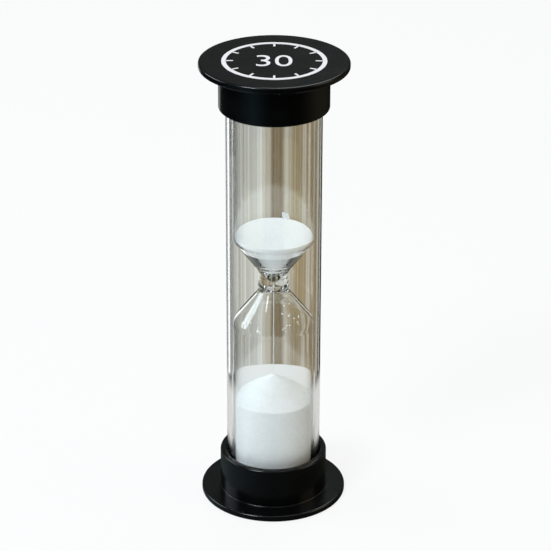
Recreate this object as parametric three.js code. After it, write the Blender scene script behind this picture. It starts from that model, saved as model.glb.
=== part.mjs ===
// Small sand timer: a two-chamber glass bulb in a clear tube, held between two black end caps.
// Millimetres, +Z up. The origin is the centre of the face that it stands on.
import * as THREE from 'three';

// ---- Driving dimensions ----

const overall_height = 96;

const tube_radius = 9.65;
const tube_wall = 0.95;
const tube_end_chamfer = 0.2;

const collar_wall = 1.31;
const collar_height = 8.4;
const collar_rim_round = 0.4;
const collar_mouth_chamfer = 0.25;
const flange_overhang = 3.92;
const flange_thickness = 1.3;
const flange_edge_round = 0.4;

const bulb_wall = 0.4;
const waist_radius = 2.9;
const waist_length = 5.4;
const upper_waist_fillet = 2.5;
const lower_waist_fillet = 1.2;
const bead_height = 0.3;
const bead_length = 1.5;
const bead_drop = 1.2;
const orifice_radius = 0.35;
const orifice_length = 0.5;
const orifice_drop = 0.85;
const throat_rise = 1.25;
const funnel_angle = 40;
const shoulder_round = 2.0;
const closed_end_round = 3.0;

const bottom_cushion_thickness = 2.8;
const top_cushion_thickness = 1.2;
const stopper_length = 3.6;
const stopper_edge_round = 0.4;
const sealant_thickness = 0.8;

const upper_sand_level = 10.2;
const lower_sand_depth = 13.05;
const heap_height = 4.95;
const heap_roundness = 1.2;
const stream_radius = 0.2;

const dial_radius = 10.4;
const dial_ring_width = 0.9;
const tick_count = 12;
const tick_length = 1.3;
const tick_width = 0.42;
const ink_thickness = 0.05;

// Clearances between pieces
const collar_clearance = 0.12;
const bulb_clearance = 0.35;
const cushion_clearance = 0.3;
const plug_clearance = 0.1;
const sand_clearance = 0.1;
const seat_gap = 0.1;

// Facets: every round piece has the same number, so nested walls stay parallel
const round_segments = 36;
const arc_steps = 3;
const heap_steps = 5;

// ---- Sizes that follow ----

const radians = Math.PI / 180;

const collar_bore_radius = tube_radius + collar_clearance;
const collar_radius = collar_bore_radius + collar_wall;
const flange_radius = collar_radius + flange_overhang;
const cap_height = flange_thickness + collar_height;
const tube_bore_radius = tube_radius - tube_wall;
const cushion_radius = tube_bore_radius - cushion_clearance;
const bulb_radius = tube_bore_radius - bulb_clearance;
const bulb_bore_radius = bulb_radius - bulb_wall;
const plug_radius = bulb_bore_radius - plug_clearance;
const sand_radius = bulb_bore_radius - sand_clearance;

const cap_face_top = overall_height - ink_thickness;
const ceiling = cap_face_top - flange_thickness;
const bulb_bottom = flange_thickness + bottom_cushion_thickness + 2 * seat_gap;
const bulb_top = ceiling - top_cushion_thickness - 2 * seat_gap;
const neck_height = (bulb_bottom + bulb_top) / 2;
const orifice_top = orifice_length / 2 - orifice_drop;
const orifice_bottom = -orifice_length / 2 - orifice_drop;
const sealant_top = bulb_bottom + sealant_thickness;
const stopper_bottom = sealant_top + seat_gap;
const stopper_top = stopper_bottom + stopper_length;
const lower_sand_bottom = stopper_top + seat_gap;
const heap_rim = lower_sand_bottom + lower_sand_depth;
const heap_peak = heap_rim + heap_height;

// ---- Outline helpers: points are (radius, height) ----

function point(radius, height) {
  return new THREE.Vector2(radius, height);
}

function arc(centre_radius, centre_height, radius, start_angle, end_angle) {
  const points = [];
  for (let step = 0; step <= arc_steps; step += 1) {
    const angle = (start_angle + (end_angle - start_angle) * step / arc_steps) * radians;
    points.push(point(
      centre_radius + radius * Math.cos(angle),
      centre_height + radius * Math.sin(angle),
    ));
  }
  return points;
}

// The outline turned about the Z axis. It runs counter-clockwise, seen with +radius to the right.
function turned(outline) {
  const geometry = new THREE.LatheGeometry(outline, round_segments);
  geometry.rotateX(Math.PI / 2);
  return geometry;
}

function ring(inner_radius, outer_radius, bottom, top, chamfer) {
  return turned([
    point(inner_radius + chamfer, bottom),
    point(outer_radius - chamfer, bottom),
    point(outer_radius, bottom + chamfer),
    point(outer_radius, top - chamfer),
    point(outer_radius - chamfer, top),
    point(inner_radius + chamfer, top),
    point(inner_radius, top - chamfer),
    point(inner_radius, bottom + chamfer),
    point(inner_radius + chamfer, bottom),
  ]);
}

function disc(radius, bottom, top, edge_round) {
  return turned([
    point(0, bottom),
    ...arc(radius - edge_round, bottom + edge_round, edge_round, -90, 0),
    ...arc(radius - edge_round, top - edge_round, edge_round, 0, 90),
    point(0, top),
  ]);
}

function piece(name, geometry, colour, roughness, opacity = 1) {
  const material = new THREE.MeshStandardMaterial({
    color: new THREE.Color(...colour),
    roughness,
    metalness: 0,
    transparent: opacity < 1,
    opacity,
  });
  const mesh = new THREE.Mesh(geometry, material);
  mesh.name = name;
  return mesh;
}

// ---- Pieces ----

// One moulding for both ends: a flange with a collar standing on it, flange face down at height 0.
function end_cap() {
  const edge = Math.min(flange_edge_round, flange_thickness * 0.45);
  const rim = Math.min(collar_rim_round, collar_wall * 0.45);
  const mouth = Math.min(collar_mouth_chamfer, collar_wall * 0.45);
  return turned([
    point(0, 0),
    ...arc(flange_radius - edge, edge, edge, -90, 0),
    ...arc(flange_radius - edge, flange_thickness - edge, edge, 0, 90),
    point(collar_radius, flange_thickness),
    ...arc(collar_radius - rim, cap_height - rim, rim, 0, 90),
    point(collar_bore_radius + mouth, cap_height),
    point(collar_bore_radius, cap_height - mouth),
    point(collar_bore_radius, flange_thickness),
    point(0, flange_thickness),
  ]);
}

function outer_tube() {
  const chamfer = Math.min(tube_end_chamfer, tube_wall * 0.3);
  return ring(tube_bore_radius, tube_radius, flange_thickness + seat_gap, ceiling - seat_gap, chamfer);
}

// Where the lines of the cone and of the chamber's wall meet, as a height above the neck.
const funnel_corner = waist_length / 2 + (bulb_radius - waist_radius) / Math.tan(funnel_angle * radians);

// Outside of one funnel, from its waist to the full radius, as heights above the neck.
function funnel_outside(fillet) {
  const turn = Math.tan(funnel_angle * radians / 2);
  const fillet_start = waist_length / 2 - fillet * turn;
  const round_end = funnel_corner + shoulder_round * turn;
  return [
    ...arc(waist_radius + fillet, fillet_start, fillet, 180, 180 - funnel_angle),
    ...arc(bulb_radius - shoulder_round, round_end, shoulder_round, -funnel_angle, 0),
  ];
}

// Inside of one funnel, from its tip to the full bore, as heights above the neck. The wall is even down
// to the throat, a little above the waist, and thickens from there to the orifice.
function funnel_inside(tip_height) {
  const slope = Math.tan(funnel_angle * radians);
  const throat_radius = waist_radius + throat_rise * slope - bulb_wall / Math.cos(funnel_angle * radians);
  const bore_round = shoulder_round - bulb_wall;
  const round_end = funnel_corner + shoulder_round * Math.tan(funnel_angle * radians / 2);
  return [
    point(orifice_radius, tip_height),
    point(throat_radius, waist_length / 2 + throat_rise),
    ...arc(bulb_bore_radius - bore_round, round_end, bore_round, -funnel_angle, 0),
  ];
}

// The bead of glass that the waist tool leaves, a little below the middle of the neck.
function waist_bead() {
  const bead_round = (bead_length * bead_length / 4 + bead_height * bead_height) / (2 * bead_height);
  const half_angle = Math.asin(bead_length / 2 / bead_round) / radians;
  return arc(waist_radius + bead_height - bead_round, -bead_drop, bead_round, -half_angle, half_angle);
}

function above_neck(points) {
  return points.map((p) => point(p.x, neck_height + p.y));
}

function below_neck(points) {
  return points.map((p) => point(p.x, neck_height - p.y)).reverse();
}

// One glass: open mouth at the bottom, closed flat end with a round corner at the top.
function glass_bulb() {
  const lip = bulb_wall / 2;
  const end_bore_round = closed_end_round - bulb_wall;
  const end_centre = bulb_top - closed_end_round;
  return turned([
    ...arc(bulb_bore_radius + lip, bulb_bottom + lip, lip, -180, 0),
    ...below_neck(funnel_outside(lower_waist_fillet)),
    ...above_neck(waist_bead()),
    ...above_neck(funnel_outside(upper_waist_fillet)),
    ...arc(bulb_radius - closed_end_round, end_centre, closed_end_round, 0, 90),
    point(0, bulb_top),
    point(0, bulb_top - bulb_wall),
    ...arc(bulb_bore_radius - end_bore_round, end_centre, end_bore_round, 90, 0),
    ...above_neck(funnel_inside(orifice_top)).reverse(),
    ...below_neck(funnel_inside(-orifice_bottom)).reverse(),
    point(bulb_bore_radius, bulb_bottom + lip),
  ]);
}

// Sand still to run: it fills the upper funnel to a level, a clearance inside the glass.
function upper_sand() {
  const wall = funnel_inside(orifice_top);
  const wetted = wall.filter((p) => p.y < upper_sand_level);
  const last = wetted[wetted.length - 1];
  const next = wall[wetted.length] ?? point(bulb_bore_radius, upper_sand_level);
  const share = next.y > last.y ? (upper_sand_level - last.y) / (next.y - last.y) : 0;
  const rim = point(last.x + (next.x - last.x) * share, upper_sand_level);
  const side = above_neck([...wetted, rim]).map((p) => point(p.x - sand_clearance, p.y));
  return turned([point(0, side[0].y), ...side, point(0, neck_height + upper_sand_level)]);
}

// Sand that has run: a heap that is a little rounder than a cone.
function lower_sand() {
  const slope = [];
  for (let step = 0; step <= heap_steps; step += 1) {
    const share = 1 - step / heap_steps;
    slope.push(point(sand_radius * share, heap_peak - heap_height * share ** heap_roundness));
  }
  return turned([point(0, lower_sand_bottom), point(sand_radius, lower_sand_bottom), ...slope]);
}

function sand_stream() {
  const top = neck_height + orifice_top - seat_gap;
  return turned([
    point(0, heap_peak + seat_gap),
    point(stream_radius, heap_peak + seat_gap),
    point(stream_radius, top),
    point(0, top),
  ]);
}

// Ink on the top face: a ring with ticks that point inwards.
function dial_print() {
  const bore = dial_radius - dial_ring_width;
  const pitch = 2 * Math.PI / tick_count;
  const tick_half_angle = Math.asin(tick_width / 2 / bore);
  const rim_points = [];
  const window_points = [];
  for (let index = 0; index < tick_count; index += 1) {
    const middle = index * pitch;
    const along = point(Math.cos(middle), Math.sin(middle));
    const across = point(-along.y, along.x).multiplyScalar(tick_width / 2);
    const tip = along.multiplyScalar(bore - tick_length);
    window_points.push(tip.clone().sub(across), tip.clone().add(across));
    for (let step = 0; step <= arc_steps; step += 1) {
      const free_angle = pitch - 2 * tick_half_angle;
      const angle = middle + tick_half_angle + free_angle * step / arc_steps;
      window_points.push(point(bore * Math.cos(angle), bore * Math.sin(angle)));
    }
    for (let step = 0; step < arc_steps; step += 1) {
      const angle = middle + pitch * step / arc_steps;
      rim_points.push(point(dial_radius * Math.cos(angle), dial_radius * Math.sin(angle)));
    }
  }
  const outline = new THREE.Shape(rim_points);
  outline.holes.push(new THREE.Path(window_points));
  const geometry = new THREE.ExtrudeGeometry(outline, { depth: ink_thickness, bevelEnabled: false });
  geometry.translate(0, 0, cap_face_top);
  return geometry;
}

// ---- Assembly ----

const black = [0.012, 0.012, 0.013];
const clear = [0.93, 0.95, 0.96];
const white_sand = [0.86, 0.87, 0.87];
const foam = [0.55, 0.55, 0.53];

const bottom_end_cap = piece('bottom_end_cap', end_cap(), black, 0.32);
const top_end_cap = piece('top_end_cap', end_cap(), black, 0.32);
top_end_cap.rotation.x = Math.PI;
top_end_cap.position.z = cap_face_top;

const bottom_cushion = piece(
  'bottom_cushion',
  disc(cushion_radius, flange_thickness + seat_gap, bulb_bottom - seat_gap, 0.3),
  foam,
  0.95,
);
const top_cushion = piece(
  'top_cushion',
  disc(cushion_radius, bulb_top + seat_gap, ceiling - seat_gap, 0.3),
  foam,
  0.95,
);
const bulb_stopper = piece(
  'bulb_stopper',
  disc(plug_radius, stopper_bottom, stopper_top, stopper_edge_round),
  [0.8, 0.8, 0.78],
  0.6,
);
const stopper_sealant = piece(
  'stopper_sealant',
  disc(plug_radius, bulb_bottom, sealant_top, 0.15),
  [0.75, 0.74, 0.68],
  0.4,
);

const group = new THREE.Group();
group.name = 'hourglass';
group.add(bottom_end_cap);
group.add(top_end_cap);
group.add(piece('outer_tube', outer_tube(), clear, 0.05, 0.3));
group.add(piece('glass_bulb', glass_bulb(), clear, 0.03, 0.3));
group.add(bottom_cushion);
group.add(top_cushion);
group.add(bulb_stopper);
group.add(stopper_sealant);
group.add(piece('upper_sand', upper_sand(), white_sand, 0.9));
group.add(piece('sand_stream', sand_stream(), white_sand, 0.9));
group.add(piece('lower_sand', lower_sand(), white_sand, 0.9));
group.add(piece('dial_print', dial_print(), [0.9, 0.85, 0.86], 0.45));

export default group;
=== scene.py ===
"""Looks for a small sand timer: a two-chamber glass bulb in a clear tube between two black caps."""

import math
import random

import bpy
from mathutils import Matrix, Vector

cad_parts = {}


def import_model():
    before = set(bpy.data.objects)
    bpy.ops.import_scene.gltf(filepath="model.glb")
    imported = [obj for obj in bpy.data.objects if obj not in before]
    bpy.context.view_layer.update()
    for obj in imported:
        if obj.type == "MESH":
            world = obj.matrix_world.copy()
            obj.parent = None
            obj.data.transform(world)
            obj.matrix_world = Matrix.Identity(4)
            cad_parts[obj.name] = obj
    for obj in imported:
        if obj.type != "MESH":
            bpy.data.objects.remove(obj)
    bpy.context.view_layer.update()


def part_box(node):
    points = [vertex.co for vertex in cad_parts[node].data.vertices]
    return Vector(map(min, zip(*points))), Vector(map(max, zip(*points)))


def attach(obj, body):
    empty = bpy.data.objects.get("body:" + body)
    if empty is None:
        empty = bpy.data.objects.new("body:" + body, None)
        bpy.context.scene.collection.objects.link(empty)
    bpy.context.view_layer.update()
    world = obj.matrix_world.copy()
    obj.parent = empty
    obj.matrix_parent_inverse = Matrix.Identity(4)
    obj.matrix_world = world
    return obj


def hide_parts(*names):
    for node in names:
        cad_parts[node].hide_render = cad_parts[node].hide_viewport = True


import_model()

MM = 0.001
BODY = "root"

# ---- Sizes read from the frame, in millimetres ----


def span(node):
    """Outer radius, lowest and highest height of a CAD node that is turned about +Z."""
    low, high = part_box(node)
    return high.x / MM, low.z / MM, high.z / MM


FLANGE_RADIUS, FLOOR, LOWER_RIM = span("bottom_end_cap")
_, _, CAP_FACE = span("top_end_cap")
TUBE_RADIUS, TUBE_BOTTOM, TUBE_TOP = span("outer_tube")
BULB_RADIUS, BULB_BOTTOM, BULB_TOP = span("glass_bulb")
STOPPER_RADIUS, STOPPER_BOTTOM, STOPPER_TOP = span("bulb_stopper")
SEALANT_RADIUS, SEALANT_BOTTOM, SEALANT_TOP = span("stopper_sealant")
LOWER_CUSHION = span("bottom_cushion")
UPPER_CUSHION = span("top_cushion")
SAND_RADIUS, SAND_FLOOR, HEAP_PEAK = span("lower_sand")
_, _, SAND_LEVEL = span("upper_sand")
_, STREAM_BOTTOM, STREAM_TOP = span("sand_stream")
DIAL_RADIUS, INK_BOTTOM, INK_TOP = span("dial_print")
NECK = (BULB_BOTTOM + BULB_TOP) / 2

# ---- Sizes of details, in millimetres and degrees ----

# End caps
COLLAR_RADIUS = TUBE_RADIUS + 1.43
COLLAR_BORE = TUBE_RADIUS + 0.12
FLANGE_THICKNESS = 1.3
FLANGE_EDGE = 0.4
COLLAR_RIM_ROUND = 0.4
COLLAR_MOUTH_ROUND = 0.25
COLLAR_ROOT_FILLET = 0.22

# Tube
TUBE_WALL = 0.95
TUBE_END_ROUND = 0.25

# Glass bulb. At the neck, heights count from its middle and grow towards either chamber.
BULB_WALL = 0.4
WAIST_RADIUS = 2.9
BEAD_HEIGHT = 0.3
BEAD_LENGTH = 1.2
BEAD_DROP = 1.05
ORIFICE_RADIUS = 0.25
ORIFICE_LENGTH = 0.5
ORIFICE_DROP = 0.5
UPPER_START = 1.9
UPPER_ANGLE = 36
UPPER_FILLET = 3.5
UPPER_BORE_CORNERS = ((1.76, 1.8), (6.5, 7.5))
LOWER_START = 2.2
LOWER_ANGLE = 38.5
LOWER_FILLET = 1.0
LOWER_BORE_CORNER = 3.3
SHOULDER_ROUND = 2.0
CLOSED_END_ROUND = 3.0
RIPPLE_START = 1.0
RIPPLE_END = 4.9
RIPPLE_PITCH = 1.1
RIPPLE_HEIGHT = 0.038

# Cushions, plug and sealant: shares are of the radius or of the thickness
CUSHION_EDGE_SHARE = 0.36
CUSHION_CROWN_SHARE = 0.55
CUSHION_CROWN_HEIGHT = 0.01
PLUG_EDGE = 0.25
PLUG_DRAFT = 0.04
PLUG_DIMPLE_DEPTH = 0.3
PLUG_DIMPLE_FLOOR_SHARE = 0.35
PLUG_DIMPLE_RIM_SHARE = 0.42
SEALANT_DRAW = 0.12
SEALANT_DRAW_SHARE = 0.25

# Sand
SAND_CLEARANCE = 0.02
SAND_EDGE_INSET = 0.06
SAND_EDGE_DROP = 0.1
HEAP_HEIGHT = 4.95
HEAP_ROUNDNESS = 1.2
HEAP_TIP_RADIUS = 0.6
HEAP_TIP_HEIGHT = 0.22
LEVEL_DIP = 0.25
RELIEF_HEIGHT = 0.09
RELIEF_GRAIN = 0.22
RELIEF_MARGIN = 0.15
HEAP_RELIEF_DEPTH = 0.05
LEVEL_RELIEF_DEPTH = 0.27

# Grains. A grain's size varies between these shares of its radius.
GRAIN_SIZES = (0.7, 1.25)
HEAP_GRAIN_RADIUS = 0.085
HEAP_GRAINS = 620
HEAP_GRAINS_REACH = 0.97
LOOSE_GRAIN_RADIUS = 0.17
# On the lower shoulder: lowest and highest place, first and last azimuth, and how many
SHOULDER_GRAINS = (
    (40.2, 44.6, 14, 56, 15),
    (40.2, 41.3, -62, -42, 5),
)
CLUMP_GRAINS = 90
CLUMP_AZIMUTH = 160.5
CLUMP_SPREAD = 5.5
CLUMP_HEIGHT = 1.3
CLUMP_INSET = 0.2
STREAM_RADIUS = 0.15
STREAM_TOP_SHARE = 0.45
STREAM_GRAIN_RADIUS = 0.062
STREAM_GRAINS = 460

# Printed dial
DIAL_BORE = DIAL_RADIUS - 0.9
TICK_COUNT = 12
TICK_LENGTH = 1.5
TICK_WIDTH = 0.42
TICK_OVERLAP = 0.1
NUMBER_WIDTH = 7.1
NUMBER_HEIGHT = 6.0
NUMBER_THINNING = -0.004

# Steps of round shapes, and the points that keep long straight stretches straight in their shading
ROUND_STEPS = 192
SAND_STEPS = 440
INNER_STEPS = 96
ARC_STEPS = 10
HEAP_SLOPE_STEPS = 84
LEVEL_STEPS = 76
GUARD = 0.06
GUARDED_LENGTH = 8 * GUARD
WELD = 0.002

# ---- Modelling helpers ----


def select_nothing():
    """Leaves edit mode and deselects every object."""
    if bpy.context.mode != "OBJECT":
        bpy.ops.object.mode_set(mode="OBJECT")
    bpy.ops.object.select_all(action="DESELECT")


def select_only(piece):
    """Selects one object and makes it active."""
    select_nothing()
    piece.select_set(True)
    bpy.context.view_layer.objects.active = piece


def arc(centre, radius, start, end, steps=ARC_STEPS):
    """Points (radius, height) along an arc; angles in degrees."""
    across, up = centre
    points = []
    for step in range(steps + 1):
        angle = math.radians(start + (end - start) * step / steps)
        points.append((across + radius * math.cos(angle), up + radius * math.sin(angle)))
    return points


def line(start, end, steps):
    """Points from start to end, without the first."""
    across, up = end[0] - start[0], end[1] - start[1]
    return [
        (start[0] + across * step / steps, start[1] + up * step / steps)
        for step in range(1, steps + 1)
    ]


def guarded(outline):
    """Adds a point close to each end of a long straight stretch, which keeps its shading straight."""
    points = [outline[0]]
    for here, there in zip(outline, outline[1:]):
        length = math.dist(here, there)
        across, up = there[0] - here[0], there[1] - here[1]
        if length > GUARDED_LENGTH:
            for share in (GUARD / length, 1 - GUARD / length):
                points.append((here[0] + across * share, here[1] + up * share))
        points.append(there)
    return points


def turned(name, outline, steps=ROUND_STEPS, smooth_angle=35):
    """Draws an outline of (radius, height) points vertex by vertex and spins it about +Z."""
    outline = guarded(outline)
    select_nothing()
    bpy.ops.mesh.primitive_plane_add(size=MM, location=(0, 0, 0))
    piece = bpy.context.object
    piece.name = name
    bpy.ops.object.mode_set(mode="EDIT")
    bpy.ops.mesh.select_all(action="SELECT")
    bpy.ops.mesh.merge(type="CENTER")
    bpy.ops.transform.translate(value=(outline[0][0] * MM, 0, outline[0][1] * MM))
    for here, there in zip(outline, outline[1:]):
        move = ((there[0] - here[0]) * MM, 0, (there[1] - here[1]) * MM)
        bpy.ops.mesh.extrude_vertices_move(TRANSFORM_OT_translate={"value": move})
    bpy.ops.mesh.select_all(action="SELECT")
    bpy.ops.mesh.spin(steps=steps, angle=math.tau, center=(0, 0, 0), axis=(0, 0, 1))
    bpy.ops.mesh.select_all(action="SELECT")
    bpy.ops.mesh.remove_doubles(threshold=WELD * MM)
    bpy.ops.mesh.normals_make_consistent(inside=False)
    bpy.ops.object.mode_set(mode="OBJECT")
    bpy.ops.object.shade_smooth_by_angle(angle=math.radians(smooth_angle))
    return piece


def copied(piece, name):
    """A copy of a piece with its own mesh."""
    select_only(piece)
    bpy.ops.object.duplicate(linked=False)
    made = bpy.context.object
    made.name = name
    return made


def scattered(name, places, radius, seed):
    """One mesh of small faceted grains at the given places, each a little different in size."""
    chance = random.Random(seed)
    select_nothing()
    bpy.ops.mesh.primitive_ico_sphere_add(subdivisions=1, radius=radius * MM, location=(0, 0, 0))
    piece = bpy.context.object
    piece.name = name
    bpy.ops.object.mode_set(mode="EDIT")
    bpy.ops.mesh.select_all(action="SELECT")
    bpy.ops.mesh.delete(type="VERT")
    for place in places:
        bpy.ops.mesh.primitive_ico_sphere_add(
            subdivisions=1,
            radius=radius * chance.uniform(*GRAIN_SIZES) * MM,
            location=[part * MM for part in place],
            rotation=[chance.uniform(0, math.pi) for _ in range(3)],
        )
    bpy.ops.object.mode_set(mode="OBJECT")
    return piece


def on_circle(radius, azimuth, height):
    """A place at a radius and height, with its azimuth in degrees from the front, +X positive."""
    angle = math.radians(azimuth)
    return (radius * math.sin(angle), -radius * math.cos(angle), height)


def roughened(piece, lowest, widest):
    """Presses small grain-like bumps into the part of a piece above a height and within a radius."""
    texture = bpy.data.textures.new(piece.name + "_relief", "CLOUDS")
    texture.noise_scale = RELIEF_GRAIN * MM
    texture.noise_depth = 1
    top = piece.vertex_groups.new(name="top")
    above = [v for v in piece.data.vertices if v.co.z > lowest * MM]
    top.add([v.index for v in above if v.co.xy.length < widest * MM], 1.0, "REPLACE")
    select_only(piece)
    bpy.ops.object.modifier_add(type="DISPLACE")
    relief = piece.modifiers[-1]
    relief.texture = texture
    relief.vertex_group = "top"
    relief.strength = RELIEF_HEIGHT * MM
    relief.mid_level = 0.5
    bpy.ops.object.modifier_apply(modifier=relief.name)


def finish_piece(piece, finish, slot, *nodes):
    """Gives a piece its material and its body, and hides the CAD nodes that it stands for. Its slot is
    not used.
    """
    piece.data.materials.clear()
    piece.data.materials.append(finish)
    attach(piece, BODY)
    if nodes:
        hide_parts(*nodes)
    return piece


# ---- Shader helpers ----


class Value:
    """One node socket. Arithmetic on it adds Math nodes."""

    def __init__(self, graph, socket):
        self.graph = graph
        self.socket = socket

    def _math(self, operation, first, second):
        return self.graph.node("Math", {"operation": operation}, {0: first, 1: second})

    def __add__(self, other):
        return self._math("ADD", self, other)

    def __radd__(self, other):
        return self._math("ADD", other, self)

    def __sub__(self, other):
        return self._math("SUBTRACT", self, other)

    def __rsub__(self, other):
        return self._math("SUBTRACT", other, self)

    def __mul__(self, other):
        return self._math("MULTIPLY", self, other)

    def __rmul__(self, other):
        return self._math("MULTIPLY", other, self)

    def __gt__(self, other):
        return self._math("GREATER_THAN", self, other)

    def __lt__(self, other):
        return self._math("LESS_THAN", self, other)


class Graph:
    """The node tree of a material or of the world."""

    def __init__(self, owner):
        owner.use_nodes = True
        self.tree = owner.node_tree
        self.tree.nodes.clear()

    def node(self, kind, settings=None, sockets=None, output=0):
        """Adds a node, sets its settings first and then its sockets, and returns one output."""
        made = self.tree.nodes.new("ShaderNode" + kind)
        for key, setting in (settings or {}).items():
            if key == "stops":
                self._set_stops(made.color_ramp, setting)
            else:
                setattr(made, key, setting)
        for key, given in (sockets or {}).items():
            if isinstance(given, Value):
                self.tree.links.new(given.socket, made.inputs[key])
            else:
                made.inputs[key].default_value = given
        return Value(self, made.outputs[output]) if len(made.outputs) else None

    @staticmethod
    def _set_stops(ramp, stops):
        while len(ramp.elements) > 1:
            ramp.elements.remove(ramp.elements[-1])
        for index, (place, colour) in enumerate(stops):
            element = ramp.elements[0] if index == 0 else ramp.elements.new(place)
            element.position = place
            element.color = (*colour, 1.0)

    def mix(self, factor, first, second):
        """A colour mixed from first to second."""
        sockets = {"Factor": factor, 6: opaque(first), 7: opaque(second)}
        return self.node("Mix", {"data_type": "RGBA"}, sockets, output=2)

    def place(self):
        """Object coordinates, in metres."""
        return self.node("TexCoord", output="Object")

    def along(self, place, axis):
        """One part of a place: X, Y or Z."""
        return self.node("SeparateXYZ", None, {"Vector": place}, output=axis)

    def bearing(self, place):
        """Angle of a place about the Z axis in radians: 0 at the back, growing towards +X."""
        sockets = {0: self.along(place, "X"), 1: self.along(place, "Y")}
        return self.node("Math", {"operation": "ARCTAN2"}, sockets)

    def path(self, kind):
        """One of the light path's outputs, for the stage alone."""
        return self.node("LightPath", output=kind)

    def bounced(self):
        """1 for a ray that has been mirrored anywhere on its way, also inside the glass."""
        return self.path("Glossy Depth") > 0.5

    def surface(self, shader):
        """Makes a shader the surface of the material."""
        self.node("OutputMaterial", None, {"Surface": shader})


def opaque(colour):
    """A colour as a socket or as four numbers."""
    return colour if isinstance(colour, Value) else (*colour, 1.0)


def material(name):
    """A new material and its node tree."""
    made = bpy.data.materials.new(name)
    return made, Graph(made)


# ---- Finishes ----

# The deep and the pale colour of each mottled finish
FOAM = ((0.42, 0.42, 0.41), (0.58, 0.58, 0.56))
STOPPER_WHITE = ((0.76, 0.76, 0.74), (0.82, 0.82, 0.80))
RESIN = ((0.66, 0.63, 0.52), (0.76, 0.74, 0.66))
INK = ((0.71, 0.67, 0.69), (0.75, 0.70, 0.72))


def black_plastic():
    """Satin black moulded plastic with a fine uneven sheen."""
    made, graph = material("cap_black_satin")
    place = graph.place()
    haze = graph.node("TexNoise", None, {"Vector": place, "Scale": 260.0, "Detail": 4.0})
    grain = graph.node("TexNoise", None, {"Vector": place, "Scale": 5200.0, "Detail": 2.0})
    bump = graph.node("Bump", None, {"Strength": 0.04, "Distance": 0.02 * MM, "Height": grain})
    shader = graph.node("BsdfPrincipled", None, {
        "Base Color": graph.mix(haze, (0.0011, 0.0013, 0.0014), (0.0022, 0.0024, 0.0024)),
        "Roughness": 0.16 + haze * 0.10,
        "IOR": 1.5,
        "Specular IOR Level": 0.3,
        "Normal": bump,
    })
    graph.surface(shader)
    return made


def clear_plastic():
    """Clear drawn plastic with a very faint uneven tint."""
    made, graph = material("tube_clear")
    place = graph.place()
    clouds = graph.node("TexNoise", None, {"Vector": place, "Scale": 90.0, "Detail": 1.0})
    shader = graph.node("BsdfPrincipled", None, {
        "Base Color": graph.mix(clouds, (0.98, 0.99, 0.985), (0.99, 0.99, 0.985)),
        "Roughness": 0.0,
        "IOR": 1.49,
        "Transmission Weight": 1.0,
    })
    graph.surface(shader)
    return made


def bulb_glass():
    """Lamp-worked glass with slow waves in its skin."""
    made, graph = material("bulb_clear")
    place = graph.place()
    waves = graph.node("TexNoise", None, {"Vector": place, "Scale": 320.0, "Detail": 1.0})
    bump = graph.node("Bump", None, {"Strength": 0.12, "Distance": 0.05 * MM, "Height": waves})
    shader = graph.node("BsdfPrincipled", None, {
        "Base Color": (0.99, 0.995, 0.99, 1.0),
        "Roughness": 0.0,
        "IOR": 1.5,
        "Transmission Weight": 1.0,
        "Normal": bump,
    })
    graph.surface(shader)
    return made


def white_grains():
    """Fine white sand: each grain a little different in tone, with tiny dips between them."""
    made, graph = material("sand_white")
    place = graph.place()
    tone = graph.node("TexVoronoi", None, {"Vector": place, "Scale": 3400.0}, output="Color")
    tone = graph.node("SeparateColor", None, {"Color": tone}, output="Red")
    gaps = graph.node("TexVoronoi", None, {"Vector": place, "Scale": 3400.0}, output="Distance")
    drift = graph.node("TexNoise", None, {"Vector": place, "Scale": 420.0, "Detail": 3.0})
    colour = graph.mix(tone, (0.83, 0.84, 0.84), (0.93, 0.94, 0.94))
    colour = graph.mix(drift * 0.2, colour, (0.80, 0.80, 0.78))
    sockets = {"Strength": 0.35, "Distance": 0.08 * MM, "Height": gaps}
    bump = graph.node("Bump", {"invert": True}, sockets)
    shader = graph.node("BsdfPrincipled", None, {
        "Base Color": colour,
        "Roughness": 0.9,
        "Specular IOR Level": 0.3,
        "Normal": bump,
    })
    graph.surface(shader)
    return made


def plain_finish(name, colours, roughness, scale, depth):
    """A matt moulded or foamed surface: mottled colour and a pebbled skin."""
    made, graph = material(name)
    place = graph.place()
    mottle = graph.node("TexNoise", None, {"Vector": place, "Scale": scale, "Detail": 4.0})
    bump = graph.node("Bump", None, {"Strength": 0.5, "Distance": depth * MM, "Height": mottle})
    shader = graph.node("BsdfPrincipled", None, {
        "Base Color": graph.mix(mottle, *colours),
        "Roughness": roughness,
        "Normal": bump,
    })
    graph.surface(shader)
    return made


# ---- Pieces ----


def end_cap(name):
    """Flange and collar in one moulding, standing on its flange at height 0."""
    edge = FLANGE_EDGE
    rim = COLLAR_RIM_ROUND
    mouth = COLLAR_MOUTH_ROUND
    root = COLLAR_ROOT_FILLET
    height = LOWER_RIM - FLOOR
    outline = [(0, 0)]
    outline += line((0, 0), (FLANGE_RADIUS - edge, 0), 3)[:-1]
    outline += arc((FLANGE_RADIUS - edge, edge), edge, -90, 0)
    outline += arc((FLANGE_RADIUS - edge, FLANGE_THICKNESS - edge), edge, 0, 90)
    outline += arc((COLLAR_RADIUS + root, FLANGE_THICKNESS + root), root, 270, 180, 6)
    outline += arc((COLLAR_RADIUS - rim, height - rim), rim, 0, 90)
    outline += arc((COLLAR_BORE + mouth, height - mouth), mouth, 90, 180, 6)
    outline += [(COLLAR_BORE, FLANGE_THICKNESS), (0, FLANGE_THICKNESS)]
    return turned(name, outline)


def turn_over(piece, height):
    """Turns a piece upside down about the X axis and lifts it, in its mesh."""
    select_only(piece)
    bpy.ops.object.mode_set(mode="EDIT")
    bpy.ops.mesh.select_all(action="SELECT")
    bpy.ops.transform.rotate(value=math.pi, orient_axis="X", center_override=(0, 0, 0))
    bpy.ops.transform.translate(value=(0, 0, height * MM))
    bpy.ops.object.mode_set(mode="OBJECT")


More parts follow.
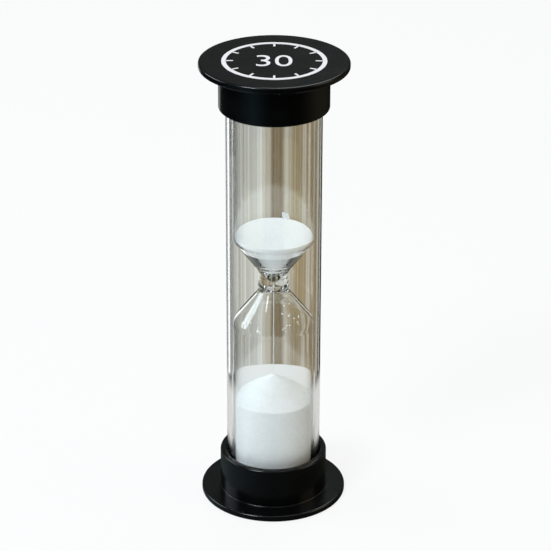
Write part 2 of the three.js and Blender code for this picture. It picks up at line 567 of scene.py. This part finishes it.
def outer_tube():
    """The clear tube, with rounded ends."""
    inner = TUBE_RADIUS - TUBE_WALL
    end = TUBE_END_ROUND
    outline = arc((inner + end, TUBE_BOTTOM + end), end, 180, 270, 5)
    outline += arc((TUBE_RADIUS - end, TUBE_BOTTOM + end), end, 270, 360, 5)
    outline += arc((TUBE_RADIUS - end, TUBE_TOP - end), end, 0, 90, 5)
    outline += arc((inner + end, TUBE_TOP - end), end, 90, 180, 5)
    outline += [outline[0]]
    return turned("outer_tube_clear", outline)


UPPER_TIP = ORIFICE_LENGTH / 2 - ORIFICE_DROP
LOWER_TIP = ORIFICE_LENGTH / 2 + ORIFICE_DROP


def rippled(points):
    """Low rings left round the funnel by the flame, fading out at both ends."""
    worked = []
    for radius, height in points:
        place = (height - RIPPLE_START) / (RIPPLE_END - RIPPLE_START)
        swell = math.sin(math.pi * min(1, max(0, place)))
        ring = math.sin(math.tau * (height - RIPPLE_START) / RIPPLE_PITCH)
        worked.append((radius + RIPPLE_HEIGHT * swell * ring, height))
    return worked


class Funnel:
    """One funnel of the bulb, as (radius, height) points counted from the middle of the neck."""

    def __init__(self, start, angle, fillet):
        self.start = start
        self.angle = angle
        self.fillet = fillet
        self.slope = math.tan(math.radians(angle))
        self.turn = math.tan(math.radians(angle / 2))
        self.corner = start + (BULB_RADIUS - WAIST_RADIUS) / self.slope

    def shoulder(self, radius):
        """The round between the funnel and the chamber's wall."""
        centre = (BULB_RADIUS - SHOULDER_ROUND, self.corner + SHOULDER_ROUND * self.turn)
        return arc(centre, radius, -self.angle, 0)

    def outside(self):
        """From the waist to the full radius."""
        centre = (WAIST_RADIUS + self.fillet, self.start - self.fillet * self.turn)
        waist = arc(centre, self.fillet, 180, 180 - self.angle, 24)
        shoulder = self.shoulder(SHOULDER_ROUND)
        return waist + line(waist[-1], shoulder[0], 40) + shoulder[1:]

    def bore_at(self, height):
        """Radius of the thin-walled inside at a height."""
        wall = BULB_WALL / math.cos(math.radians(self.angle))
        return WAIST_RADIUS + (height - self.start) * self.slope - wall

    def inside(self, corners):
        """From the tip through its corners to the full bore, with even steps."""
        shoulder = self.shoulder(SHOULDER_ROUND - BULB_WALL)
        points = [corners[0]]
        for corner in corners[1:] + [shoulder[0]]:
            points += line(points[-1], corner, 8)
        return points + shoulder[1:]


UPPER_FUNNEL = Funnel(UPPER_START, UPPER_ANGLE, UPPER_FILLET)
LOWER_FUNNEL = Funnel(LOWER_START, LOWER_ANGLE, LOWER_FILLET)
UPPER_BORE = [(ORIFICE_RADIUS, UPPER_TIP), *UPPER_BORE_CORNERS]
LOWER_BORE = [
    (ORIFICE_RADIUS, LOWER_TIP),
    (LOWER_FUNNEL.bore_at(LOWER_BORE_CORNER), LOWER_BORE_CORNER),
]


def waist_bead():
    """The round bead on the waist, a little below its middle."""
    radius = (BEAD_LENGTH ** 2 / 4 + BEAD_HEIGHT ** 2) / (2 * BEAD_HEIGHT)
    half_angle = math.degrees(math.asin(BEAD_LENGTH / 2 / radius))
    return arc((WAIST_RADIUS + BEAD_HEIGHT - radius, -BEAD_DROP), radius, -half_angle, half_angle)


def above_neck(points):
    """Puts points of the upper funnel at their height."""
    return [(radius, NECK + height) for radius, height in points]


def below_neck(points):
    """Turns points of the lower funnel upside down and puts them at their height."""
    return [(radius, NECK - height) for radius, height in reversed(points)]


def glass_bulb():
    """Both chambers and the neck as one wall: open at the foot, closed at the top."""
    bore = BULB_RADIUS - BULB_WALL
    lip = BULB_WALL / 2
    end_centre = BULB_TOP - CLOSED_END_ROUND
    end_bore = CLOSED_END_ROUND - BULB_WALL
    outline = arc((bore + lip, BULB_BOTTOM + lip), lip, -180, 0)
    outline += below_neck(LOWER_FUNNEL.outside())
    outline += above_neck(waist_bead())
    outline += above_neck(rippled(UPPER_FUNNEL.outside()))
    outline += arc((BULB_RADIUS - CLOSED_END_ROUND, end_centre), CLOSED_END_ROUND, 0, 90)
    outline += [(0, BULB_TOP), (0, BULB_TOP - BULB_WALL)]
    outline += arc((bore - end_bore, end_centre), end_bore, 90, 0)
    outline += list(reversed(above_neck(UPPER_FUNNEL.inside(UPPER_BORE))))
    outline += list(reversed(below_neck(LOWER_FUNNEL.inside(LOWER_BORE))))
    outline += [outline[0]]
    return turned("glass_bulb_clear", outline)


def heap_surface(radius):
    """Height of the heap at a radius: a rounded slope with a small tip where the thread lands."""
    dome = HEAP_HEIGHT * (radius / SAND_RADIUS) ** HEAP_ROUNDNESS
    tip = HEAP_TIP_HEIGHT * min(1, radius / HEAP_TIP_RADIUS)
    return HEAP_PEAK - max(dome, tip)


def lower_sand():
    """Sand that has run: a heap whose rim meets the glass, with a loose grainy slope."""
    radius = BULB_RADIUS - BULB_WALL - SAND_CLEARANCE
    rim = heap_surface(radius)
    outline = [(0, SAND_FLOOR)]
    outline += line((0, SAND_FLOOR), (radius, SAND_FLOOR), 6)
    outline += line((radius, SAND_FLOOR), (radius, rim - SAND_EDGE_DROP), 24)
    slope = line((radius - SAND_EDGE_INSET, 0), (0, 0), HEAP_SLOPE_STEPS)
    outline += [(reach, heap_surface(reach)) for reach, _ in slope]
    piece = turned("lower_sand_heap", outline, steps=SAND_STEPS, smooth_angle=60)
    roughened(piece, rim - HEAP_RELIEF_DEPTH, radius - RELIEF_MARGIN)
    return piece


def heap_grains():
    """Loose grains that stand out from the slope of the heap."""
    chance = random.Random(11)
    places = []
    for _ in range(HEAP_GRAINS):
        radius = SAND_RADIUS * math.sqrt(chance.uniform(0.0, HEAP_GRAINS_REACH))
        places.append(on_circle(radius, chance.uniform(0, 360), heap_surface(radius)))
    return scattered("lower_sand_grains", places, HEAP_GRAIN_RADIUS, 12)


def upper_sand():
    """Sand still to run, filling the funnel to a level that dips a little in the middle."""
    glass = above_neck(UPPER_FUNNEL.inside(UPPER_BORE))
    top = SAND_LEVEL - SAND_EDGE_DROP
    bore = [(reach - SAND_CLEARANCE, height) for reach, height in glass if height < top]
    radius = BULB_RADIUS - BULB_WALL - SAND_CLEARANCE
    outline = [(0, bore[0][1])] + bore
    outline += [(radius, SAND_LEVEL)]
    outline += line((radius, SAND_LEVEL), (0, SAND_LEVEL - LEVEL_DIP), LEVEL_STEPS)
    piece = turned("upper_sand_fill", outline, steps=SAND_STEPS, smooth_angle=60)
    roughened(piece, SAND_LEVEL - LEVEL_RELIEF_DEPTH, radius - RELIEF_MARGIN)
    return piece


def clinging_grains():
    """Single grains on the lower shoulder, and a small clump on the glass behind the upper level."""
    chance = random.Random(31)
    places = []
    for lowest, highest, first, last, count in SHOULDER_GRAINS:
        for _ in range(count):
            height = chance.uniform(lowest, highest)
            radius = LOWER_FUNNEL.bore_at(NECK - height) - LOOSE_GRAIN_RADIUS
            places.append(on_circle(radius, chance.uniform(first, last), height))
    radius = BULB_RADIUS - BULB_WALL - CLUMP_INSET
    for _ in range(CLUMP_GRAINS):
        height = SAND_LEVEL + CLUMP_HEIGHT * chance.random()
        azimuth = CLUMP_AZIMUTH + chance.uniform(-CLUMP_SPREAD, CLUMP_SPREAD)
        places.append(on_circle(radius, azimuth, height))
    return scattered("clinging_sand_grains", places, LOOSE_GRAIN_RADIUS, 32)


def sand_stream():
    """The falling thread, as separate grains that spread a little on their way down."""
    chance = random.Random(5)
    places = []
    for step in range(STREAM_GRAINS):
        share = (step + chance.random()) / STREAM_GRAINS
        width = STREAM_TOP_SHARE + (1 - STREAM_TOP_SHARE) * share
        radius = STREAM_RADIUS * width * chance.random() ** 0.5
        height = STREAM_TOP + (STREAM_BOTTOM - STREAM_TOP) * share
        places.append(on_circle(radius, chance.uniform(0, 360), height))
    return scattered("sand_stream_grains", places, STREAM_GRAIN_RADIUS, 6)


def cushion(name, size):
    """A soft foam disc, thickest in the middle, with a full round edge."""
    radius, bottom, top = size
    middle = (bottom + top) / 2
    edge = (top - bottom) * CUSHION_EDGE_SHARE
    crown = radius * CUSHION_CROWN_SHARE
    outline = [(0, bottom)]
    outline += line((0, bottom), (crown, bottom + CUSHION_CROWN_HEIGHT), 6)
    outline += line(outline[-1], (radius - edge, middle - edge), 8)
    outline += arc((radius - edge, middle), edge, -90, 90, 12)[1:]
    outline += line(outline[-1], (crown, top - CUSHION_CROWN_HEIGHT), 8)
    outline += line(outline[-1], (0, top), 6)
    piece = turned(name, outline, steps=INNER_STEPS, smooth_angle=60)
    return piece


def bulb_stopper():
    """The plug in the open end of the glass: a drafted disc with a moulded dimple below."""
    radius, bottom, top = STOPPER_RADIUS, STOPPER_BOTTOM, STOPPER_TOP
    dimple = bottom + PLUG_DIMPLE_DEPTH
    edge = radius - PLUG_EDGE
    outline = [(0, dimple), (radius * PLUG_DIMPLE_FLOOR_SHARE, dimple)]
    outline += [(radius * PLUG_DIMPLE_RIM_SHARE, bottom)]
    outline += arc((edge - PLUG_DRAFT, bottom + PLUG_EDGE), PLUG_EDGE, -90, 0, 6)
    outline += arc((edge, top - PLUG_EDGE), PLUG_EDGE, 0, 90, 6)
    outline += [(0, top)]
    return turned("bulb_stopper_plug", outline, steps=INNER_STEPS)


def stopper_sealant():
    """Resin poured round the plug, drawn up a little where it wets the glass."""
    radius, bottom, top = SEALANT_RADIUS, SEALANT_BOTTOM, SEALANT_TOP
    depth = min(SEALANT_DRAW, (top - bottom) * SEALANT_DRAW_SHARE)
    steps = 12
    outline = [(0, bottom + depth)]
    for step in range(1, steps + 1):
        share = step / steps
        outline.append((radius * share, bottom + depth * (1 - share ** 4)))
    outline += [(radius, top), (0, top)]
    return turned("stopper_sealant_resin", outline, steps=INNER_STEPS)


def dial_ring():
    """A ring with ticks that point inwards, printed on the top face."""
    outline = [(DIAL_BORE, INK_BOTTOM), (DIAL_RADIUS, INK_BOTTOM)]
    outline += [(DIAL_RADIUS, INK_TOP), (DIAL_BORE, INK_TOP)]
    outline += [outline[0]]
    piece = turned("dial_ring_and_ticks", outline)
    bpy.ops.object.mode_set(mode="EDIT")
    tick = (TICK_LENGTH * MM, TICK_WIDTH * MM, (INK_TOP - INK_BOTTOM) * MM)
    middle = DIAL_BORE - TICK_LENGTH / 2 + TICK_OVERLAP
    for index in range(TICK_COUNT):
        turn = math.tau * index / TICK_COUNT
        bpy.ops.mesh.select_all(action="DESELECT")
        bpy.ops.mesh.primitive_cube_add(size=1, location=(0, 0, 0))
        bpy.ops.transform.resize(value=tick)
        bpy.ops.transform.translate(value=(middle * MM, 0, (INK_TOP + INK_BOTTOM) / 2 * MM))
        bpy.ops.transform.rotate(value=turn, orient_axis="Z", center_override=(0, 0, 0))
    bpy.ops.object.mode_set(mode="OBJECT")
    return piece


def dial_number():
    """The running time in plain figures in the middle of the dial."""
    select_nothing()
    bpy.ops.object.text_add(location=(0, 0, 0))
    piece = bpy.context.object
    piece.name = "dial_number"
    piece.data.body = "30"
    piece.data.align_x = "CENTER"
    piece.data.align_y = "CENTER"
    piece.data.size = 1.0
    piece.data.offset = NUMBER_THINNING
    piece.data.extrude = 0.01
    piece.data.resolution_u = 16
    bpy.ops.object.convert(target="MESH")
    piece = bpy.context.object
    width, height, depth = piece.dimensions
    thickness = INK_TOP - INK_BOTTOM
    piece.scale = (NUMBER_WIDTH * MM / width, NUMBER_HEIGHT * MM / height, thickness * MM / depth)
    bpy.ops.object.transform_apply(location=False, rotation=False, scale=True)
    bpy.ops.object.origin_set(type="ORIGIN_GEOMETRY", center="BOUNDS")
    piece.location = (0, 0, (INK_TOP + INK_BOTTOM) / 2 * MM)
    bpy.ops.object.transform_apply(location=True, rotation=False, scale=False)
    return piece


def build():
    """Makes every piece, gives it its finish and its body, and hides the nodes that it stands for."""
    black = black_plastic()
    clear = clear_plastic()
    glass = bulb_glass()
    grains = white_grains()
    foam = plain_finish("cushion_foam_grey", FOAM, roughness=0.95, scale=1800.0, depth=0.08)
    plug = plain_finish("stopper_white", STOPPER_WHITE, roughness=0.55, scale=700.0, depth=0.03)
    resin = plain_finish("sealant_amber", RESIN, roughness=0.35, scale=400.0, depth=0.03)
    ink = plain_finish("dial_ink", INK, roughness=0.4, scale=900.0, depth=0.01)

    bottom_cap = end_cap("bottom_end_cap_moulding")
    top_cap = copied(bottom_cap, "top_end_cap_moulding")
    turn_over(top_cap, CAP_FACE)
    finish_piece(bottom_cap, black, "cap_black", "bottom_end_cap")
    finish_piece(top_cap, black, "cap_black", "top_end_cap")
    tube = finish_piece(outer_tube(), clear, "clear_tube", "outer_tube")
    bulb = finish_piece(glass_bulb(), glass, "bulb_glass", "glass_bulb")
    # Clear walls don't darken the sand behind them.
    for clear_piece in (tube, bulb):
        clear_piece.visible_shadow = False
        clear_piece.visible_diffuse = False
    finish_piece(lower_sand(), grains, "white_sand", "lower_sand")
    finish_piece(heap_grains(), grains, "white_sand")
    finish_piece(upper_sand(), grains, "white_sand", "upper_sand")
    finish_piece(clinging_grains(), grains, "white_sand")
    finish_piece(sand_stream(), grains, "white_sand", "sand_stream")
    finish_piece(dial_ring(), ink, "print_ink", "dial_print")
    finish_piece(dial_number(), ink, "print_ink")
    lower_cushion = cushion("bottom_cushion_foam", LOWER_CUSHION)
    finish_piece(lower_cushion, foam, "cushion_foam", "bottom_cushion")
    upper_cushion = cushion("top_cushion_foam", UPPER_CUSHION)
    finish_piece(upper_cushion, foam, "cushion_foam", "top_cushion")
    finish_piece(bulb_stopper(), plug, "stopper_plastic", "bulb_stopper")
    finish_piece(stopper_sealant(), resin, "sealant", "stopper_sealant")


# ---- Colours and places of the stage, the lamps and the camera ----

# Colours of the pleats
GREY = (0.61, 0.615, 0.58)
PALE = (0.76, 0.77, 0.73)
CREAM = (0.56, 0.52, 0.43)
OLIVE = (0.30, 0.25, 0.16)
TAUPE = (0.26, 0.205, 0.125)
SAND_BROWN = (0.37, 0.295, 0.185)
# Colours of the room
DIM = (0.05, 0.05, 0.045)
BACK = (0.55, 0.52, 0.42)
WARM = (0.30, 0.23, 0.13)
WINDOW = (1.6, 1.65, 1.65)
HAZE = (0.20, 0.21, 0.21)
GLARE = (0.90, 0.85, 0.74)
WHITE = (1.0, 1.0, 1.0)

# The floor, in metres, and how much of its white shows to the camera and through the glass
FLOOR_SIZE = 6.0
FLOOR_COLOUR = (0.82, 0.83, 0.83)
FLOOR_WHITENESS = 0.97
FLOOR_SHARE_SEEN = 0.87
FLOOR_SHARE_THROUGH = 0.6

# Painted reflections: what mirrored rays see of the floor at the timer's foot, near it and further off,
# where the floor glows with painted pools of light and is dark elsewhere.
# 0 and 1 are the front, 0.5 the back.
FLOOR_FOOT = (
    (0.00, (0.075, 0.090, 0.090)),
    (0.08, (0.120, 0.160, 0.175)),
    (0.16, (0.180, 0.250, 0.280)),
    (0.26, (0.160, 0.210, 0.230)),
    (0.34, (0.060, 0.070, 0.070)),
    (0.70, (0.030, 0.030, 0.024)),
    (0.90, (0.060, 0.060, 0.048)),
    (1.00, (0.075, 0.090, 0.090)),
)
FLOOR_NEAR = (
    (0.00, (0.075, 0.090, 0.090)),
    (0.16, (0.160, 0.220, 0.250)),
    (0.26, (0.240, 0.290, 0.310)),
    (0.34, (0.700, 0.710, 0.700)),
    (0.64, (0.700, 0.700, 0.680)),
    (0.72, (0.140, 0.130, 0.100)),
    (0.90, (0.060, 0.060, 0.048)),
    (1.00, (0.075, 0.090, 0.090)),
)
FLOOR_FAR = (
    (0.02, (0.005, 0.007, 0.007)),
    (0.07, (0.060, 0.110, 0.130)),
    (0.12, (0.160, 0.290, 0.340)),
    (0.17, (0.060, 0.110, 0.130)),
    (0.24, (0.010, 0.014, 0.014)),
    (0.40, (0.020, 0.024, 0.024)),
    (0.42, (1.000, 1.050, 1.050)),
    (0.438, (1.000, 1.050, 1.050)),
    (0.448, (0.020, 0.020, 0.018)),
    (0.60, (0.020, 0.020, 0.018)),
    (0.74, (0.200, 0.180, 0.120)),
    (0.85, (0.010, 0.010, 0.006)),
)
# Where each of the outer two begins and is complete, in millimetres from the middle
FLOOR_ZONES = ((FLOOR_NEAR, 24, 29), (FLOOR_FAR, 50, 58))

# Each pleat: where it starts and ends, in degrees from the middle of its group, and its colour
PLEAT_GROUPS = 3
PLEATS = (
    (-60.0, -37.0, PALE),
    (-36.0, -31.0, PALE),
    (-30.0, -7.0, GREY),
    (-6.4, -4.4, PALE),
    (-3.9, -1.5, CREAM),
    (-0.9, -0.5, OLIVE),
    (-0.1, 3.0, TAUPE),
    (4.0, 6.2, CREAM),
    (7.2, 13.0, SAND_BROWN),
    (14.0, 16.5, CREAM),
    (17.5, 44.0, SAND_BROWN),
    (59.0, 60.0, PALE),
)
# What mirrored rays see: narrow bright windows behind the timer and a dim room elsewhere
ROOM = (
    (-180.0, -62.0, DIM),
    (-58.0, -46.0, HAZE),
    (-41.0, -30.0, WINDOW),
    (-28.5, 26.5, DIM),
    (28.0, 33.5, GLARE),
    (35.5, 43.0, DIM),
    (45.0, 52.0, BACK),
    (55.0, 100.0, WARM),
    (120.0, 180.0, DIM),
)
# Openings through which mirrored rays reach the lamps: first and last angle, lowest and highest edge,
# in degrees and millimetres
OPENINGS = (
    (-96.0, -48.0, 55.0, 125.0),
    (-142.0, -112.0, 78.0, 88.0),
    (-142.0, -118.0, 99.0, 125.0),
)
# A greenish patch low at both sides of the front, seen in the thick glass of the neck
NECK_GLOW = (0.36, 0.37, 0.17)
NECK_GLOW_ANGLES = (98.0, 155.0)
NECK_GLOW_HEIGHTS = (18.0, 50.0)
# Fine streaks on the pleats: how far they spread from the middle, how many, and how dark and strong
STREAK_SPREAD = math.radians(15.3)
STREAKS = 15.0
STREAK_DARKEST = 0.30
STREAK_STRENGTH = 1.4
# The surround itself, in millimetres
SURROUND_RADIUS = 57
SURROUND_HEIGHT = 400

# Where the lamps aim, in metres, and the even light of the world
LAMP_AIM = (0, 0, 0.05)
WORLD_LIGHT = (0.11, 0.11, 0.11)
WORLD_MIRRORED = (0.10, 0.10, 0.10)

# Camera: place, lens and sensor in millimetres, angles in degrees, reach in metres
CAMERA_PLACE = (0.36, -472.2, 273.9)
CAMERA_PITCH = 25.43
CAMERA_ROLL = 0.164
CAMERA_LENS = 167.7
CAMERA_SENSOR = 36.0
CAMERA_REACH = (0.01, 20.0)

# ---- Stage, lamps and camera ----


def unseen_but_for_glass(piece):
    """Hides a piece of the stage from all rays but those that have passed through something clear."""
    piece.visible_camera = False
    piece.visible_diffuse = False
    piece.visible_glossy = False
    piece.visible_shadow = False
    piece.visible_volume_scatter = False


def stage_floor():
    """Pale floor: white to the camera and through the glass, with the timer's soft shadow on it. To
    mirrored rays it glows with painted pools of light, which the caps and glass show as painted
    reflections.
    """
    made, graph = material("floor_pale")
    place = graph.place()
    seen = graph.path("Is Camera Ray")
    mirrored = graph.bounced()
    through = graph.path("Is Transmission Ray") * (1 - mirrored)
    lit = graph.node("BsdfDiffuse", None, {"Color": opaque(FLOOR_COLOUR)})
    turn = graph.bearing(place) * (1 / math.tau) + 0.5
    reach = graph.node("VectorMath", {"operation": "LENGTH"}, {0: place}, output="Value")
    colour = graph.node("ValToRGB", {"stops": FLOOR_FOOT}, {"Fac": turn})
    for stops, first, last in FLOOR_ZONES:
        further = graph.node("ValToRGB", {"stops": stops}, {"Fac": turn})
        sockets = {"Value": reach, "From Min": first * MM, "From Max": last * MM}
        colour = graph.mix(graph.node("MapRange", None, sockets), colour, further)
    # Painted reflections: to mirrored rays the floor glows in these colours, and its bright patches are
    # painted pools of light.
    mirrored_glow = graph.node("Emission", None, {"Color": colour, "Strength": 1.0})
    white = graph.node("Emission", None, {"Color": opaque(WHITE), "Strength": FLOOR_WHITENESS})
    share = seen * FLOOR_SHARE_SEEN + through * FLOOR_SHARE_THROUGH
    shader = graph.node("MixShader", None, {0: share, 1: lit, 2: white})
    graph.surface(graph.node("MixShader", None, {0: mirrored, 1: shader, 2: mirrored_glow}))
    select_nothing()
    bpy.ops.mesh.primitive_plane_add(size=FLOOR_SIZE, location=(0, 0, 0))
    floor = bpy.context.object
    floor.name = "floor"
    floor.data.materials.append(made)


def folded(graph, angle, groups):
    """Place within a group, from 0 to 1, with the whole turn cut into a number of groups."""
    turn = angle * (groups / math.tau) + (groups + 0.5)
    return graph.node("Math", {"operation": "FRACT"}, {0: turn})


def bands(graph, angle, groups, stripes):
    """Upright stripes round the Z axis, the whole set repeated a number of times."""
    stops = []
    for first, last, colour in stripes:
        stops += [(0.5 + edge * groups / 360, colour) for edge in (first, last)]
    return graph.node("ValToRGB", {"stops": stops}, {"Fac": folded(graph, angle, groups)})


def streaks(graph, angle):
    """Fine upright streaks, closest together in the middle of each group of pleats."""
    away = (folded(graph, angle, PLEAT_GROUPS) - 0.5) * (math.tau / PLEAT_GROUPS / STREAK_SPREAD)
    spread = graph.node("Math", {"operation": "TANH"}, {0: away})
    sockets = {"W": spread, "Scale": STREAKS, "Detail": 2.0, "Roughness": 0.6}
    return graph.node("TexNoise", {"noise_dimensions": "1D"}, sockets)


def within(value, low, high):
    """1 where a value lies between two limits, otherwise 0."""
    return (value > low) * (value < high)


def stage_surround():
    """A pleated wall close round the timer, which only the clear pieces show."""
    made, graph = material("surround_pleats")
    place = graph.place()
    height = graph.along(place, "Z")
    angle = graph.bearing(place)
    pleats = bands(graph, angle, PLEAT_GROUPS, PLEATS)
    mirrored_glow = bands(graph, angle, 1, ROOM)
    to_side = graph.node("Math", {"operation": "ABSOLUTE"}, {0: angle})
    first, last = (math.radians(edge) for edge in NECK_GLOW_ANGLES)
    low, high = (edge * MM for edge in NECK_GLOW_HEIGHTS)
    mirrored_glow = graph.mix(within(to_side, first, last) * within(height, low, high), mirrored_glow, NECK_GLOW)
    mirrored = graph.bounced()
    brightness = STREAK_DARKEST + streaks(graph, angle) * STREAK_STRENGTH
    sockets = {"Value": mirrored, "To Min": brightness, "To Max": 1.0}
    strength = graph.node("MapRange", None, sockets)
    colour = graph.mix(mirrored, pleats, mirrored_glow)
    wall = graph.node("Emission", None, {"Color": colour, "Strength": strength})
    hole = 0.0
    for first, last, low, high in OPENINGS:
        across = within(angle, math.radians(first), math.radians(last))
        hole = across * within(height, low * MM, high * MM) + hole
    gap = graph.node("BsdfTransparent")
    graph.surface(graph.node("MixShader", None, {0: hole * mirrored, 1: wall, 2: gap}))
    select_nothing()
    bpy.ops.mesh.primitive_cylinder_add(
        vertices=128,
        radius=SURROUND_RADIUS * MM,
        depth=SURROUND_HEIGHT * MM,
        end_fill_type="NOTHING",
        location=(0, 0, SURROUND_HEIGHT * MM / 2),
    )
    wall = bpy.context.object
    wall.name = "surround"
    bpy.ops.object.transform_apply(location=True)
    wall.data.materials.append(made)
    unseen_but_for_glass(wall)


def lamp(name, place, size, power, colour):
    """A rectangular lamp at a place in metres, aimed at the middle of the timer."""
    select_nothing()
    bpy.ops.object.light_add(type="AREA", location=place)
    made = bpy.context.object
    made.name = name
    made.data.shape = "RECTANGLE"
    made.data.size, made.data.size_y = size
    made.data.energy = power
    made.data.color = colour
    towards = Vector(LAMP_AIM) - Vector(place)
    made.rotation_euler = towards.to_track_quat("-Z", "Y").to_euler()


def lamps():
    """Cool lamps at the left, in front and behind, a warm fill from the right and a weak lamp above."""
    lamp("window_left", (-0.631, 0.193, 0.41), (0.48, 0.28), 2.6, (0.80, 0.93, 1.0))
    lamp("high_front", (-0.354, -0.354, 0.607), (0.22, 0.22), 4.5, (0.84, 0.92, 0.98))
    lamp("fill_right", (0.60, -0.10, 0.34), (0.40, 0.40), 1.1, (1.0, 0.87, 0.64))
    lamp("window_back", (0.12, 0.48, 0.62), (0.30, 0.30), 1.5, (0.90, 1.0, 1.0))
    lamp("overhead", (0.05, 0.05, 0.80), (0.4, 0.4), 1.2, (1.0, 1.0, 1.0))


def world():
    """White to the camera, and a dim even light on everything."""
    made = bpy.data.worlds.new("studio")
    bpy.context.scene.world = made
    graph = Graph(made)
    colour = graph.mix(graph.bounced(), WORLD_LIGHT, WORLD_MIRRORED)
    colour = graph.mix(graph.path("Is Camera Ray"), colour, WHITE)
    background = graph.node("Background", None, {"Color": colour, "Strength": 1.0})
    graph.node("OutputWorld", None, {"Surface": background})


def camera():
    """Looks down on the timer from the front, with a long lens."""
    select_nothing()
    bpy.ops.object.camera_add(location=[part * MM for part in CAMERA_PLACE])
    made = bpy.context.object
    made.data.lens = CAMERA_LENS
    made.data.sensor_width = CAMERA_SENSOR
    made.data.clip_start, made.data.clip_end = CAMERA_REACH
    tilt = Matrix.Rotation(math.pi / 2 - math.radians(CAMERA_PITCH), 4, "X")
    roll = Matrix.Rotation(math.radians(CAMERA_ROLL), 4, "Z")
    made.rotation_euler = (tilt @ roll).to_euler()
    bpy.context.scene.camera = made


camera()
build()
stage_floor()
stage_surround()
lamps()
world()
bpy.context.scene.view_settings.view_transform = "Standard"
